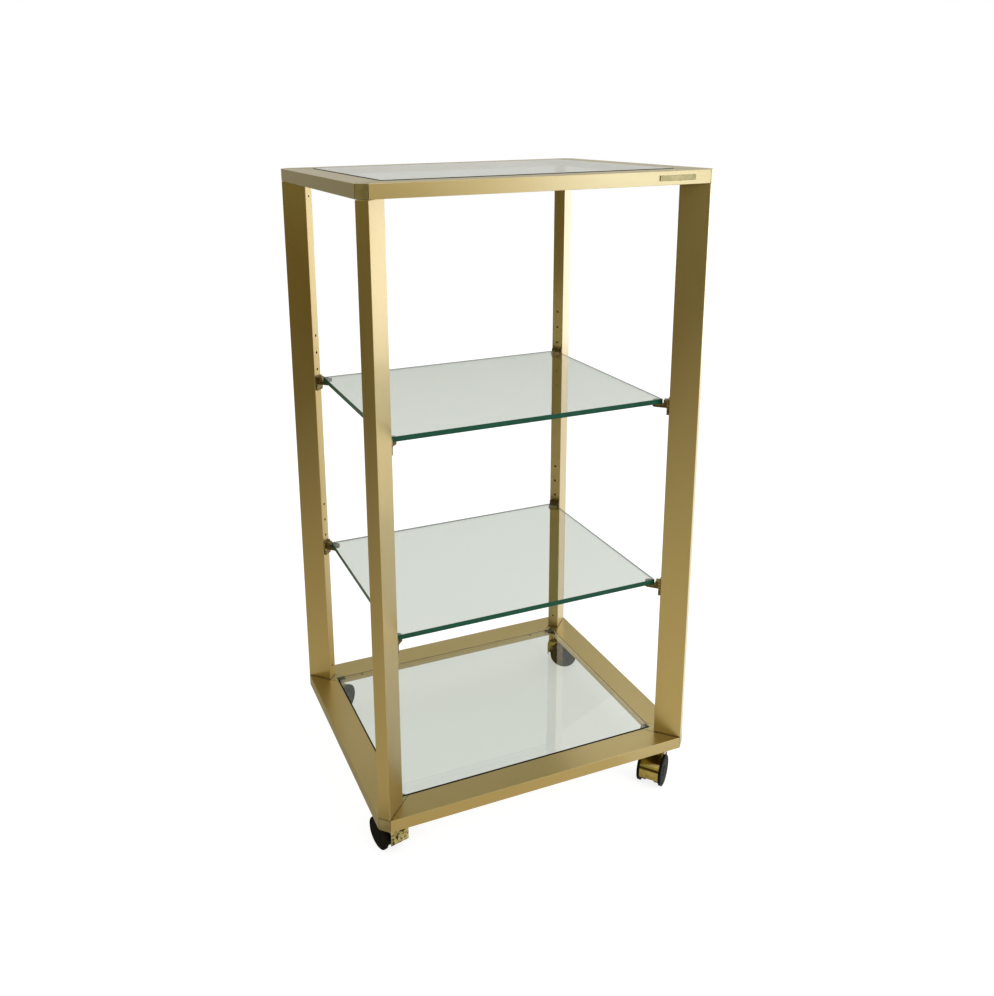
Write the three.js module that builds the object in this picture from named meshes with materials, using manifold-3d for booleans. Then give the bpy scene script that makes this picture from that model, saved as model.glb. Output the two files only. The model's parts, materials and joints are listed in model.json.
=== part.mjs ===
// A four-tier étagère on castors: two rectangular frames of flat gilt aluminium tube,
// joined by four flat tube posts that stand across the cut-off corners, with a glass pane
// laid into each frame and two loose glass shelves on corner brackets between them.
// Millimetres, +Z up, the origin on the floor under the middle, the front towards -Y.

import * as THREE from 'three';
import { mergeVertices } from 'three/addons/utils/BufferGeometryUtils.js';
import Module from 'manifold-3d';

const wasm = await Module();
wasm.setup();

// Overall sizes
const frameWidth = 550;
const frameDepth = 450;
const postLength = 930;
const castorHeight = 67;

// Flat tube of the rails and posts
const tubeBroad = 45;
const tubeThick = 20;
const tubeWall = 2;

// Clearances between pieces, and how far a cutting tool runs past what it cuts
const fitGap = 0.3;
const overrun = 5;

// Corner connectors
const railTongueLength = 45;
const postTongueLength = 40;
const tongueRoot = 2;
const nibReach = 6;
const nibThickness = 3;

// Set screws that hold the tongues
const screwHoleRadius = 2;
const railScrewFromMitre = 35;
const postScrewFromEnd = 25;

// Glass
const paneThickness = 8;
const paneBelowRail = 1;
const paneGap = 4;
const shelfThickness = 8;
const shelfGap = 2;
const glassArris = 0.6;

// Shelf positions, from the top of the bottom frame to the top of the glass
const lowerShelfHeight = 281;
const upperShelfHeight = 594;

// Rows of shelf-pin holes: each starts at its shelf's own pin and climbs by the pitch
const pinHoleRadius = 2.5;
const pinHolePitch = 30;
const pinHolesPerRow = 4;

// Shelf brackets
const bracketWidth = 19;
const bracketThickness = 3.5;
const bracketRise = 1;
const bracketDrop = 24;
const bracketArmWidth = 12;
const bracketArmReach = 27.5;
const bracketArmThickness = 4.7;
const bracketHeadDrop = 0.5;
const bracketHeadGap = 1.8;
const pinRadius = 2.2;
const pinLength = 6;
const pinBelowGlassTop = 17;

// Name plate on the front of the top frame, left blank
const plateWidth = 60;
const plateHeight = 8;
const plateThickness = 1;
const plateFromRightEnd = 42;

// Castors
const stemFromChamfer = 40;
const castorTrail = 23;
const wheelRadius = 26;
const wheelInnerRadius = 22.8;
const wheelFlangeWidth = 5.2;
const wheelEdgeRound = 1;
const wheelDome = 0.7;
const hoodWidth = 32;
const hoodRadius = 25;
const hoodWall = 1.8;
const hoodLead = 10;
const hoodLeadDrop = 4;
const hoodTrailAngle = THREE.MathUtils.degToRad(20);
const hoodCornerRadius = 6;
const hoodNeckRadius = 9;
const hoodBoreDepth = 33;
const webWidth = 15;
const axleRadius = 3;
const axleInset = 2.5;
const stemRadius = 4;
const stemInSocket = 14;
const stemCollarRadius = 6;
const stemCollarThickness = 1.5;
const socketOuterRadius = 5.5;
const socketFlangeRadius = 9;
const socketFlangeThickness = 1.5;
const socketEndWall = 1.5;

// The way each castor trails from its stem, seen from above
const castorTurns = {
  front_left: THREE.MathUtils.degToRad(103),
  front_right: THREE.MathUtils.degToRad(-140),
  back_right: THREE.MathUtils.degToRad(-35),
  back_left: THREE.MathUtils.degToRad(40),
};

// Sides of the round shapes
const wheelSides = 30;
const hoodSides = 16;
const stemSides = 16;
const holeSides = 8;

// Places that follow from the sizes above
const halfWidth = frameWidth / 2;
const halfDepth = frameDepth / 2;
const chamferLeg = tubeThick / Math.SQRT2;
const bottomFrameZ = castorHeight;
const postZ = bottomFrameZ + tubeThick;
const topFrameZ = postZ + postLength;
const connectorLength = tubeBroad * Math.SQRT2;
const mitreGap = fitGap * Math.SQRT2;
const openHalfWidth = halfWidth - tubeBroad;
const openHalfDepth = halfDepth - tubeBroad;
const paneLowZ = tubeThick - paneBelowRail - paneThickness;
const nibTopZ = paneLowZ - fitGap;

// Colours and finishes as they look in daylight
const finishes = {
  gilt: { color: 0xc3ab66, roughness: 0.34, metalness: 0.9 },
  giltCast: { color: 0xaaa27c, roughness: 0.45, metalness: 0.8 },
  brass: { color: 0xb08d3c, roughness: 0.18, metalness: 1.0 },
  bronze: { color: 0x5b4a25, roughness: 0.4, metalness: 0.9 },
  glass: { color: 0xa9bdb2, roughness: 0.05, metalness: 0.0, transparent: true, opacity: 0.45 },
  blackPlastic: { color: 0x1b1a17, roughness: 0.3, metalness: 0.0 },
  steel: { color: 0x9a9a98, roughness: 0.3, metalness: 1.0 },
  nylon: { color: 0x2a2a28, roughness: 0.6, metalness: 0.0 },
};

const part = new THREE.Group();

// Solid helpers
function toSolid(geometry) {
  const bare = geometry.clone();
  bare.deleteAttribute('normal');
  bare.deleteAttribute('uv');
  const merged = mergeVertices(bare);
  return new wasm.Manifold(new wasm.Mesh({
    numProp: 3,
    vertProperties: merged.attributes.position.array,
    triVerts: new Uint32Array(merged.index.array),
  }));
}

function toGeometry(solid) {
  const mesh = solid.getMesh();
  const geometry = new THREE.BufferGeometry();
  const points = new Float32Array(mesh.vertProperties);
  geometry.setAttribute('position', new THREE.BufferAttribute(points, mesh.numProp));
  geometry.setIndex(new THREE.BufferAttribute(new Uint32Array(mesh.triVerts), 1));
  geometry.computeVertexNormals();
  return geometry;
}

function cut(solid, tools) {
  let result = solid;
  for (const tool of tools) {
    result = result.subtract(tool);
  }
  return result;
}

function join(solids) {
  let result = solids[0];
  for (const solid of solids.slice(1)) {
    result = result.add(solid);
  }
  return result;
}

// A box between two opposite corners
function block(low, high) {
  const size = high.map((value, axis) => value - low[axis]);
  const geometry = new THREE.BoxGeometry(...size);
  geometry.translate(...high.map((value, axis) => (value + low[axis]) / 2));
  return geometry;
}

// A flat outline raised from one height to another
function slab(points, lowZ, highZ) {
  const shape = new THREE.Shape(points.map(([x, y]) => new THREE.Vector2(x, y)));
  const geometry = new THREE.ExtrudeGeometry(shape, { depth: highZ - lowZ, bevelEnabled: false });
  geometry.translate(0, 0, lowZ);
  return geometry;
}

// An upright round bar between two heights
function bar(radius, lowZ, highZ, sides) {
  const geometry = new THREE.CylinderGeometry(radius, radius, highZ - lowZ, sides);
  geometry.rotateX(Math.PI / 2);
  geometry.translate(0, 0, (lowZ + highZ) / 2);
  return geometry;
}

// A profile of [radius, height] points turned about the upright axis
function turned(profile, sides) {
  const geometry = new THREE.LatheGeometry(profile.map(([r, z]) => new THREE.Vector2(r, z)), sides);
  geometry.rotateX(Math.PI / 2);
  return geometry;
}

// Adds a named piece with a finish of its own to a group
function piece(name, geometry, finish, group = part) {
  const mesh = new THREE.Mesh(geometry, new THREE.MeshStandardMaterial(finishes[finish]));
  mesh.name = name;
  group.add(mesh);
  return mesh;
}

// Rails: mitred flat tubes with a set screw hole near each end of the inner face. A rail
// runs along X with its outer face on y = 0 and its inside towards +Y.
function railGeometry(length) {
  const halfAt = (y) => length / 2 - chamferLeg - mitreGap - y;
  const outline = [
    [-halfAt(0), 0],
    [halfAt(0), 0],
    [halfAt(tubeBroad), tubeBroad],
    [-halfAt(tubeBroad), tubeBroad],
  ];
  const half = length / 2;
  const bore = block([-half, tubeWall, tubeWall], [half, tubeBroad - tubeWall, tubeThick - tubeWall]);
  const tools = [toSolid(bore)];
  for (const side of [-1, 1]) {
    const hole = bar(screwHoleRadius, tubeBroad - tubeWall - fitGap, tubeBroad + fitGap, holeSides);
    hole.rotateX(-Math.PI / 2);
    hole.translate(side * (halfAt(tubeBroad) - railScrewFromMitre), 0, tubeThick / 2);
    tools.push(toSolid(hole));
  }
  return toGeometry(cut(toSolid(slab(outline, 0, tubeThick)), tools));
}

const frames = [
  { name: 'bottom', z: bottomFrameZ },
  { name: 'top', z: topFrameZ },
];

for (const frame of frames) {
  const longRail = railGeometry(frameWidth);
  const shortRail = railGeometry(frameDepth);
  const sides = [
    { side: 'front', geometry: longRail, x: 0, y: -halfDepth, turn: 0 },
    { side: 'right', geometry: shortRail, x: halfWidth, y: 0, turn: Math.PI / 2 },
    { side: 'back', geometry: longRail, x: 0, y: halfDepth, turn: Math.PI },
    { side: 'left', geometry: shortRail, x: -halfWidth, y: 0, turn: -Math.PI / 2 },
  ];
  for (const { side, geometry, x, y, turn } of sides) {
    const rail = piece(`${frame.name}_${side}_rail`, geometry.clone(), 'gilt');
    rail.position.set(x, y, frame.z);
    rail.rotation.z = turn;
  }
}

// Corner groups: u runs inwards along the corner's diagonal from the middle of the
// chamfer, v runs across it, and z is measured from the floor.
const corners = [
  { name: 'front_left', x: -1, y: -1, turn: Math.PI / 4 },
  { name: 'front_right', x: 1, y: -1, turn: (3 * Math.PI) / 4 },
  { name: 'back_right', x: 1, y: 1, turn: (-3 * Math.PI) / 4 },
  { name: 'back_left', x: -1, y: 1, turn: -Math.PI / 4 },
];

for (const corner of corners) {
  corner.group = new THREE.Group();
  corner.group.position.x = corner.x * (halfWidth - chamferLeg / 2);
  corner.group.position.y = corner.y * (halfDepth - chamferLeg / 2);
  corner.group.rotation.z = corner.turn;
  part.add(corner.group);
}

// Turns a point given along the two rails, from the sharp corner, into u and v
function alongRails(a, b) {
  const fromMiddleA = a - chamferLeg / 2;
  const fromMiddleB = b - chamferLeg / 2;
  return [(fromMiddleA + fromMiddleB) / Math.SQRT2, (fromMiddleB - fromMiddleA) / Math.SQRT2];
}

// Corner connectors: a bar across the mitre, cut flush with the rails' inner faces, with a
// tongue into each rail, one into the post and a nib that carries a corner of the pane.
function connectorSolid() {
  const halfThick = tubeThick / 2;
  const near = tubeWall + fitGap;
  const far = tubeBroad - tubeWall - fitGap;
  const end = chamferLeg + tubeBroad + railTongueLength;
  const root = chamferLeg - tongueRoot;
  const noseEnd = connectorLength + nibReach;
  const beam = toSolid(block([0, -halfThick, 0], [noseEnd, halfThick, tubeThick]));
  const open = tubeBroad + noseEnd;
  const corner = [
    alongRails(tubeBroad, tubeBroad),
    alongRails(open, tubeBroad),
    alongRails(open, open),
    alongRails(tubeBroad, open),
  ];
  const above = toSolid(slab(corner, nibTopZ, tubeThick + overrun));
  const below = toSolid(slab(corner, -overrun, nibTopZ - nibThickness));
  const pieces = [cut(beam, [above, below])];
  const plan = [
    [near + root, near],
    [end, near],
    [end, far],
    [far + root, far],
  ];
  const tongue = slab(plan.map(([a, b]) => alongRails(a, b)), near, tubeThick - near);
  pieces.push(toSolid(tongue));
  const mirrored = plan.map(([a, b]) => alongRails(b, a)).reverse();
  pieces.push(toSolid(slab(mirrored, near, tubeThick - near)));
  return pieces;
}

function postTongue(lowZ, highZ) {
  const gap = tubeWall + fitGap;
  return toSolid(block(
    [gap, gap - tubeThick / 2, lowZ],
    [tubeBroad - gap, tubeThick / 2 - gap, highZ],
  ));
}

const socketBoreRadius = socketOuterRadius + fitGap;
const socketDepth = stemInSocket + fitGap + socketEndWall;
const socketBore = bar(socketBoreRadius, -overrun, socketDepth + fitGap, stemSides);
socketBore.translate(stemFromChamfer, 0, 0);

const bottomConnector = toGeometry(cut(
  join([...connectorSolid(), postTongue(tubeThick - tongueRoot, tubeThick + postTongueLength)]),
  [toSolid(socketBore)],
));
const topConnector = toGeometry(
  join([...connectorSolid(), postTongue(-postTongueLength, tongueRoot)]),
);

for (const { name, group } of corners) {
  piece(`bottom_${name}_connector`, bottomConnector.clone(), 'giltCast', group).position.z = bottomFrameZ;
  piece(`top_${name}_connector`, topConnector.clone(), 'giltCast', group).position.z = topFrameZ;
}

// Posts: flat tubes set edge-on to the corners, drilled on their inner edge
function postGeometry() {
  const halfThick = tubeThick / 2;
  const lowZ = fitGap;
  const highZ = postLength - fitGap;
  const outer = toSolid(block([0, -halfThick, lowZ], [tubeBroad, halfThick, highZ]));
  const bore = toSolid(block(
    [tubeWall, tubeWall - halfThick, -overrun],
    [tubeBroad - tubeWall, halfThick - tubeWall, postLength + overrun],
  ));
  const holes = [
    { z: postScrewFromEnd, radius: screwHoleRadius },
    { z: postLength - postScrewFromEnd, radius: screwHoleRadius },
  ];
  for (const shelf of [lowerShelfHeight, upperShelfHeight]) {
    for (let step = 0; step < pinHolesPerRow; step += 1) {
      holes.push({ z: shelf - pinBelowGlassTop + step * pinHolePitch, radius: pinHoleRadius });
    }
  }
  const tools = holes.map(({ z, radius }) => {
    const hole = bar(radius, tubeBroad - tubeWall - fitGap, tubeBroad + fitGap, holeSides);
    hole.rotateY(Math.PI / 2);
    hole.translate(0, 0, z);
    return toSolid(hole);
  });
  return toGeometry(cut(outer, [bore, ...tools]));
}

const postShape = postGeometry();
for (const { name, group } of corners) {
  piece(`${name}_post`, postShape.clone(), 'gilt', group).position.z = postZ;
}

// Glass: a pane in each frame and two loose shelves
function glassGeometry(points, thickness) {
  const shape = new THREE.Shape(points.map(([x, y]) => new THREE.Vector2(x, y)));
  const geometry = new THREE.ExtrudeGeometry(shape, {
    depth: thickness - 2 * glassArris,
    bevelEnabled: true,
    bevelThickness: glassArris,
    bevelSize: glassArris,
    bevelOffset: -glassArris,
    bevelSegments: 1,
  });
  geometry.translate(0, 0, glassArris);
  return geometry;
}

function glassPlan(halfX, halfY) {
  return [
    [-halfX, -halfY],
    [halfX, -halfY],
    [halfX, halfY],
    [-halfX, halfY],
  ];
}

const panePlan = glassPlan(openHalfWidth - paneGap, openHalfDepth - paneGap);
const paneNames = { bottom: 'bottom_glass', top: 'top_glass' };
for (const frame of frames) {
  const pane = piece(paneNames[frame.name], glassGeometry(panePlan, paneThickness), 'glass');
  pane.position.z = frame.z + paneLowZ;
}

const shelfPlan = glassPlan(openHalfWidth - shelfGap, openHalfDepth - shelfGap);
const shelves = [
  { name: 'lower', topZ: postZ + lowerShelfHeight },
  { name: 'upper', topZ: postZ + upperShelfHeight },
];
for (const { name, topZ } of shelves) {
  const shelf = piece(`${name}_shelf_glass`, glassGeometry(shelfPlan, shelfThickness), 'glass');
  shelf.position.z = topZ - shelfThickness;
}

// How far in from the middle of a chamfer a shelf's corner lies
const shelfCorner = (2 * tubeBroad - chamferLeg) / Math.SQRT2 + shelfGap * Math.SQRT2;

// Shelf brackets: a tab on the post with a pin in its hole, a head that stops short of the
// shelf's corner, and an arm under the glass. Heights are measured from the top of the glass.
function bracketGeometry() {
  const face = tubeBroad + fitGap;
  const root = face + bracketThickness / 2;
  const halfTab = bracketWidth / 2;
  const halfArm = bracketArmWidth / 2;
  const armTop = -shelfThickness - fitGap;
  const armLow = armTop - bracketArmThickness;
  const armEnd = tubeBroad + bracketArmReach - halfArm;
  const headEnd = shelfCorner - bracketHeadGap;
  const tab = block([face, -halfTab, -bracketDrop], [face + bracketThickness, halfTab, bracketRise]);
  const head = block([root, -halfArm, armLow], [headEnd, halfArm, -bracketHeadDrop]);
  const arm = block([root, -halfArm, armLow], [armEnd, halfArm, armTop]);
  const nose = bar(halfArm, armLow, armTop, stemSides);
  nose.translate(armEnd, 0, 0);
  const pin = bar(pinRadius, face - pinLength, root, holeSides);
  pin.rotateY(Math.PI / 2);
  pin.translate(0, 0, -pinBelowGlassTop);
  return toGeometry(join([tab, head, arm, nose, pin].map(toSolid)));
}

const bracketShape = bracketGeometry();
for (const { name: shelf, topZ } of shelves) {
  for (const { name, group } of corners) {
    piece(`${shelf}_${name}_bracket`, bracketShape.clone(), 'bronze', group).position.z = topZ;
  }
}

// Name plate, bare
const plate = piece(
  'name_plate',
  new THREE.BoxGeometry(plateWidth, plateThickness, plateHeight),
  'brass',
);
plate.position.set(
  halfWidth - plateFromRightEnd - plateWidth / 2,
  -halfDepth - fitGap - plateThickness / 2,
  topFrameZ + tubeThick / 2,
);

// Castors: x runs from the stem towards the axle, y along the axle, z up from the floor
const hoodTopZ = wheelRadius + hoodRadius;
const socketLowZ = bottomFrameZ - fitGap - socketFlangeThickness;
const collarTopZ = socketLowZ - fitGap;
const collarLowZ = collarTopZ - stemCollarThickness;
const neckTopZ = collarLowZ - fitGap;
const stemTopZ = bottomFrameZ + stemInSocket;
const boreLowZ = neckTopZ - hoodBoreDepth;
const wheelInnerY = webWidth / 2 + fitGap;
const flangeInnerY = hoodWidth / 2 + fitGap;
const wheelOuterY = flangeInnerY + wheelFlangeWidth;
const axleHalf = wheelOuterY - axleInset - fitGap;

// Lays a geometry that was turned about Z along the axle
function alongAxle(geometry) {
  geometry.rotateX(-Math.PI / 2);
  geometry.translate(castorTrail, 0, wheelRadius);
  return geometry;
}

// An outline in x and z, given a width along y
function upright(shape, lowY, highY) {
  const geometry = new THREE.ExtrudeGeometry(shape, {
    depth: highY - lowY,
    bevelEnabled: false,
    curveSegments: hoodSides,
  });
  geometry.rotateX(Math.PI / 2);
  geometry.translate(0, highY, 0);
  return geometry;
}

function hoodOutline() {
  const shape = new THREE.Shape();
  const startX = castorTrail + hoodRadius * Math.cos(hoodTrailAngle);
  const startZ = wheelRadius - hoodRadius * Math.sin(hoodTrailAngle);
  shape.moveTo(startX, startZ);
  shape.absarc(castorTrail, wheelRadius, hoodRadius, -hoodTrailAngle, Math.PI / 2, false);
  shape.lineTo(hoodCornerRadius - hoodLead, hoodTopZ);
  shape.absarc(
    hoodCornerRadius - hoodLead, hoodTopZ - hoodCornerRadius, hoodCornerRadius,
    Math.PI / 2, Math.PI, false,
  );
  shape.lineTo(-hoodLead, wheelRadius - hoodLeadDrop);
  shape.closePath();
  return shape;
}

function hoodGeometry() {
  const half = hoodWidth / 2;
  const cavityRadius = hoodRadius - hoodWall;
  const tools = [];
  for (const side of [-1, 1]) {
    const lowY = side < 0 ? -half - overrun : webWidth / 2;
    const highY = side < 0 ? -webWidth / 2 : half + overrun;
    const round = bar(cavityRadius, lowY, highY, 2 * hoodSides);
    round.rotateX(-Math.PI / 2);
    round.translate(castorTrail, 0, wheelRadius);
    tools.push(toSolid(round));
    tools.push(toSolid(block(
      [hoodWall - hoodLead, lowY, -overrun],
      [castorTrail, highY, hoodTopZ - hoodCornerRadius - hoodWall],
    )));
  }
  tools.push(toSolid(bar(stemRadius + fitGap, boreLowZ, neckTopZ + overrun, stemSides)));
  tools.push(toSolid(alongAxle(bar(axleRadius + fitGap, -half, half, stemSides))));
  const neck = toSolid(bar(hoodNeckRadius, hoodTopZ - hoodWall, neckTopZ, hoodSides));
  const body = toSolid(upright(hoodOutline(), -half, half));
  return toGeometry(cut(join([body, neck]), tools));
}

// The tread's flats, not its corners, lie on the wheel's radius, so it stands on a flat
function wheelGeometry(side) {
  const corner = wheelRadius / Math.cos(Math.PI / wheelSides);
  const bore = axleRadius + fitGap;
  const profile = [
    [0, axleHalf + fitGap],
    [bore, axleHalf + fitGap],
    [bore, wheelInnerY],
    [wheelInnerRadius, wheelInnerY],
    [wheelInnerRadius, flangeInnerY],
    [corner, flangeInnerY],
    [corner, wheelOuterY - wheelDome - wheelEdgeRound],
    [corner - wheelEdgeRound, wheelOuterY - wheelDome],
    [0, wheelOuterY],
  ];
  const geometry = turned(profile, wheelSides);
  geometry.rotateZ(Math.PI / wheelSides);
  if (side < 0) {
    geometry.rotateX(Math.PI);
  }
  return toGeometry(toSolid(alongAxle(geometry)));
}

function stemGeometry() {
  const profile = [
    [0, boreLowZ + fitGap],
    [stemRadius, boreLowZ + fitGap],
    [stemRadius, collarLowZ],
    [stemCollarRadius, collarLowZ],
    [stemCollarRadius, collarTopZ],
    [stemRadius, collarTopZ],
    [stemRadius, stemTopZ],
    [0, stemTopZ],
  ];
  return toGeometry(toSolid(turned(profile, stemSides)));
}

function socketGeometry() {
  const inner = stemRadius + fitGap;
  const profile = [
    [inner, socketLowZ],
    [socketFlangeRadius, socketLowZ],
    [socketFlangeRadius, socketLowZ + socketFlangeThickness],
    [socketOuterRadius, socketLowZ + socketFlangeThickness],
    [socketOuterRadius, bottomFrameZ + socketDepth],
    [0, bottomFrameZ + socketDepth],
    [0, stemTopZ + fitGap],
    [inner, stemTopZ + fitGap],
    [inner, socketLowZ],
  ];
  return toGeometry(toSolid(turned(profile, stemSides)));
}

const castorPieces = [
  { name: 'socket', geometry: socketGeometry(), finish: 'nylon' },
  { name: 'stem', geometry: stemGeometry(), finish: 'steel' },
  { name: 'hood', geometry: hoodGeometry(), finish: 'brass' },
  { name: 'axle', geometry: alongAxle(bar(axleRadius, -axleHalf, axleHalf, stemSides)), finish: 'steel' },
  { name: 'left_wheel', geometry: wheelGeometry(1), finish: 'blackPlastic' },
  { name: 'right_wheel', geometry: wheelGeometry(-1), finish: 'blackPlastic' },
];

for (const { name, turn, group } of corners) {
  const castor = new THREE.Group();
  castor.position.x = stemFromChamfer;
  castor.rotation.z = castorTurns[name] - turn;
  group.add(castor);
  for (const { name: item, geometry, finish } of castorPieces) {
    piece(`${name}_castor_${item}`, geometry.clone(), finish, castor);
  }
}

// The origin goes under the middle of the whole, castors and name plate counted in
part.updateMatrixWorld(true);
const middle = new THREE.Box3().setFromObject(part, true).getCenter(new THREE.Vector3());
for (const child of part.children) {
  child.position.x -= middle.x;
  child.position.y -= middle.y;
}

export default part;
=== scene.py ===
# %% [markdown]
# # A glass display stand on castors
#
# Two rectangular frames of flat gilt tube, four posts set edge-on across the cut-off
# corners, four panes of glass and four twin-wheel castors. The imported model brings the
# sizes, the places and the joints. This lesson gives each piece its real edges, holes and
# finish. Lengths are in metres, +Z is up, and the front looks towards -Y.

# %% Load the frame
import json
import math

import bmesh
import bpy
from mathutils import Matrix, Vector


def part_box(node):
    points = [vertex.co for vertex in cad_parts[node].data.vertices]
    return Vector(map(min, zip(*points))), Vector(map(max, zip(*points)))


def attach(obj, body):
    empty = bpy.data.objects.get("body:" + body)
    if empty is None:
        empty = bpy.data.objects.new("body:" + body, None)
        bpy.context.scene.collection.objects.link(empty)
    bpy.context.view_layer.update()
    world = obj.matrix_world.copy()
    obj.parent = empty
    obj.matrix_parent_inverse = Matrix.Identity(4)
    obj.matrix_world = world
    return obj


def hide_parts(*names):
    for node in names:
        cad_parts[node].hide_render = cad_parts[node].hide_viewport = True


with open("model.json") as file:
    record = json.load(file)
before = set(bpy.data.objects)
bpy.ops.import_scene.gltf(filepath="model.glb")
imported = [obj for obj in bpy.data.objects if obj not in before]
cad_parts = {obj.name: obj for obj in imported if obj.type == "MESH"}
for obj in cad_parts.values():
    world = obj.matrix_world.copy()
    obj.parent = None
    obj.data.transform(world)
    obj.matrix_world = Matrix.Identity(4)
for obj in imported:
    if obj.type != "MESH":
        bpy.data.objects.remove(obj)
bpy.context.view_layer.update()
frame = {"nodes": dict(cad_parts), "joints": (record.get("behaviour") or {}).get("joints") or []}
mm = 0.001

# %% [markdown]
# ## Sizes
#
# Whatever the frame can tell is read from it: the outside of the rails, the heights of the
# frames and of the glass. The rest, such as the tube's broad side, is a named size.

# %% Measure the frame
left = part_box("bottom_left_rail")[0].x
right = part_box("bottom_right_rail")[1].x
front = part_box("bottom_front_rail")[0].y
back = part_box("bottom_back_rail")[1].y
bottom_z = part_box("bottom_front_rail")[0].z
top_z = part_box("top_front_rail")[0].z
frame_width = right - left
frame_depth = back - front
middle = Vector(((left + right) / 2, (front + back) / 2, 0))
tube_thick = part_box("top_front_rail")[1].z - top_z
tube_broad = 45 * mm
post_low, post_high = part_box("front_left_post")
chamfer_leg = tube_thick / math.sqrt(2)
joint_gap = 0.3 * mm
joint_line = 0.3 * mm
mitre_gap = joint_gap * math.sqrt(2)
measures = (frame_width, frame_depth, top_z + tube_thick)
print("frame width, depth and top:", [round(measure, 4) for measure in measures])

# %% [markdown]
# ## Tools of the bench
#
# Every piece starts as a primitive with nothing else selected, is shaped in edit mode on
# faces that are picked by their place, and ends with applied modifiers. These helpers keep
# that routine short. The first ones add a box or a round bar at its real size and place.


# %% Starting a piece
def only(*pieces):
    """Selects these objects and nothing else."""
    bpy.ops.object.select_all(action="DESELECT")
    for piece in pieces:
        piece.select_set(True)
    bpy.context.view_layer.objects.active = pieces[0]


def start(add, name, **settings):
    """Adds a primitive, names it and puts its place into its mesh."""
    bpy.ops.object.select_all(action="DESELECT")
    add(**settings)
    piece = bpy.context.object
    piece.name = name
    bpy.ops.object.transform_apply(location=True, rotation=True, scale=True)
    return piece


def block(name, low, high):
    """A box between two opposite corners."""
    low, high = Vector(low), Vector(high)
    return start(
        bpy.ops.mesh.primitive_cube_add, name, size=1, location=(low + high) / 2, scale=high - low
    )


UPRIGHT = (0, 0, 0)
ALONG_X = (0, math.pi / 2, 0)
ALONG_Y = (math.pi / 2, 0, 0)


def rod(name, radius, length, centre, turn=UPRIGHT, sides=48):
    """A round bar with its middle at a point."""
    return start(
        bpy.ops.mesh.primitive_cylinder_add,
        name,
        vertices=sides,
        radius=radius,
        depth=length,
        location=centre,
        rotation=turn,
    )


# %% [markdown]
# In edit mode an operator works on what is selected. By hand one would click on faces. A
# script picks them by their middle and their normal, so the same lines hold at any size.

# %% Shaping a piece in edit mode
mostly = 0.9  # the share of a direction above which it runs along an axis


def edit(piece):
    only(piece)
    bpy.ops.object.mode_set(mode="EDIT")
    bpy.ops.mesh.select_mode(type="FACE")
    bpy.ops.mesh.select_all(action="SELECT")


def done():
    bpy.ops.object.mode_set(mode="OBJECT")


def pick_faces(test):
    """Selects the faces whose centre and normal pass a test."""
    bpy.ops.mesh.select_mode(type="FACE")
    bpy.ops.mesh.select_all(action="DESELECT")
    data = bpy.context.edit_object.data
    for face in bmesh.from_edit_mesh(data).faces:
        if test(face.calc_center_median(), face.normal):
            face.select_set(True)
    bmesh.update_edit_mesh(data)


def pick_corners(test):
    """Selects the vertices whose place passes a test."""
    bpy.ops.mesh.select_mode(type="VERT")
    bpy.ops.mesh.select_all(action="DESELECT")
    data = bpy.context.edit_object.data
    mesh = bmesh.from_edit_mesh(data)
    for corner in mesh.verts:
        if test(corner.co):
            corner.select_set(True)
    mesh.select_flush(True)
    bmesh.update_edit_mesh(data)


def pick_edges(test):
    """Selects the edges whose middle and direction pass a test."""
    bpy.ops.mesh.select_mode(type="EDGE")
    bpy.ops.mesh.select_all(action="DESELECT")
    data = bpy.context.edit_object.data
    for edge in bmesh.from_edit_mesh(data).edges:
        one, other = (corner.co for corner in edge.verts)
        if test((one + other) / 2, (other - one).normalized()):
            edge.select_set(True)
    bmesh.update_edit_mesh(data)


def push(reach):
    """Extrudes what is selected by a vector."""
    bpy.ops.mesh.extrude_region_move(TRANSFORM_OT_translate={"value": reach})


def split(point, normal, drop=False):
    """Cuts the whole mesh by a plane, and can drop what lies beyond it."""
    bpy.ops.mesh.select_all(action="SELECT")
    bpy.ops.mesh.bisect(plane_co=point, plane_no=normal, use_fill=drop, clear_outer=drop)


# %% [markdown]
# Modifiers finish a piece: bevels round its sharp edges, booleans cut and join it, and
# weighted normals keep its flats flat. Each is applied at once, so that the next one works
# on real faces. What repeats is copied, and each copy has its own mesh with its place in it.


# %% Finishing a piece
def use(piece, kind, **settings):
    """Adds a modifier and applies it at once."""
    only(piece)
    modifier = piece.modifiers.new(kind, kind)
    for name, value in settings.items():
        setattr(modifier, name, value)
    bpy.ops.object.modifier_apply(modifier=modifier.name)


def soften(piece, width, segments=3, angle=35):
    """Rounds every edge sharper than an angle, and keeps the flats flat."""
    use(
        piece, "BEVEL", width=width, segments=segments, limit_method="ANGLE",
        angle_limit=math.radians(angle), use_clamp_overlap=True,
    )


def smooth(piece, angle=40):
    """Shades the rounds smooth and the flats flat."""
    only(piece)
    bpy.ops.object.shade_smooth_by_angle(angle=math.radians(angle))
    use(piece, "WEIGHTED_NORMAL", keep_sharp=True, weight=80)


def combine(piece, tool, operation="DIFFERENCE"):
    """Cuts or joins one piece by another, which is used up."""
    use(piece, "BOOLEAN", object=tool, operation=operation, solver="EXACT")
    bpy.data.objects.remove(tool)


def copy_of(master, name, matrix):
    """A copy with its own mesh, moved by a matrix."""
    piece = master.copy()
    piece.data = master.data.copy()
    piece.name = name
    bpy.context.scene.collection.objects.link(piece)
    piece.data.transform(matrix)
    return piece


def mounted(piece, body, slot, finishes, *nodes):
    """Gives a finished piece its materials and its body, and hides the nodes it stands for."""
    piece.data.materials.clear()
    for finish in finishes:
        piece.data.materials.append(finish)
    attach(piece, body)
    if nodes:
        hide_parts(*nodes)


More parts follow.
